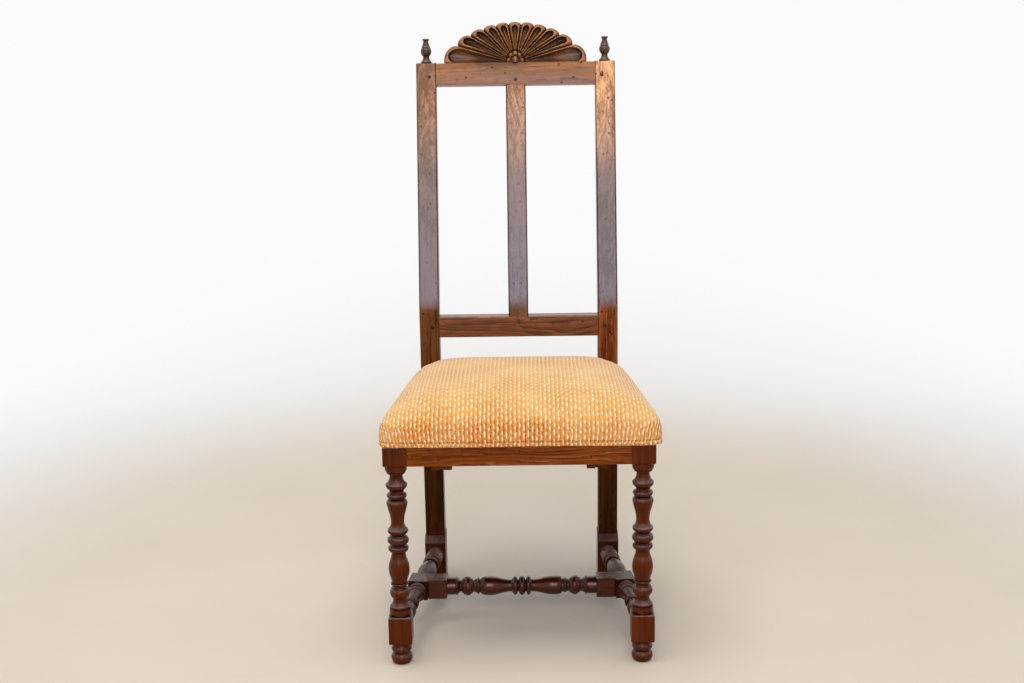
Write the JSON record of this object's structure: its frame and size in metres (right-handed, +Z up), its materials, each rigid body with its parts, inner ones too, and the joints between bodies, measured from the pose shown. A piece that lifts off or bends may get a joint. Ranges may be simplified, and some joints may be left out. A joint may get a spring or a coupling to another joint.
{
  "type": "upholstered side chair",
  "caption": "Side chair with turned legs and H stretcher, a raked open back with a carved shell crest and finials, and a padded seat in woven cloth.",
  "frame": {"origin": "on the floor under the middle of the chair's box", "axes": "+Z up, -Y towards the front of the chair, +X to the right as seen from the front"},
  "size_m": [0.4898, 0.5379, 1.128],
  "materials": {
    "stained_wood": "dark stain under satin lacquer",
    "plain_wood": "bare softwood",
    "plywood": "bare plywood",
    "foam": "open-cell foam",
    "seat_fabric": "orange and cream chenille weave",
    "dust_cloth": "thin non-woven",
    "screw_steel": "zinc plated"
  },
  "bodies": {
    "root": {"back_mullion": "stained_wood", "back_post_left": "stained_wood", "back_post_right": "stained_wood", "batten_screws": "screw_steel", "crest_rail": "stained_wood", "crest_rail_pegs": "stained_wood", "cross_stretcher": "stained_wood", "dust_cover": "dust_cloth", "finial_left": "stained_wood", "finial_right": "stained_wood", "front_corner_block_left": "plain_wood", "front_corner_block_right": "plain_wood", "front_leg_left": "stained_wood", "front_leg_right": "stained_wood", "front_seat_rail": "stained_wood", "lower_back_rail": "stained_wood", "lower_back_rail_pegs": "stained_wood", "mullion_pegs": "stained_wood", "rear_corner_block_left": "plain_wood", "rear_corner_block_right": "plain_wood", "rear_seat_rail": "stained_wood", "seat_batten_left": "stained_wood", "seat_batten_right": "stained_wood", "seat_board": "plywood", "seat_cover": "seat_fabric", "seat_foam": "foam", "seat_screws": "screw_steel", "seat_welt": "seat_fabric", "side_seat_rail_left": "stained_wood", "side_seat_rail_right": "stained_wood", "side_stretcher_left": "stained_wood", "side_stretcher_right": "stained_wood"}
  },
  "joints": []
}
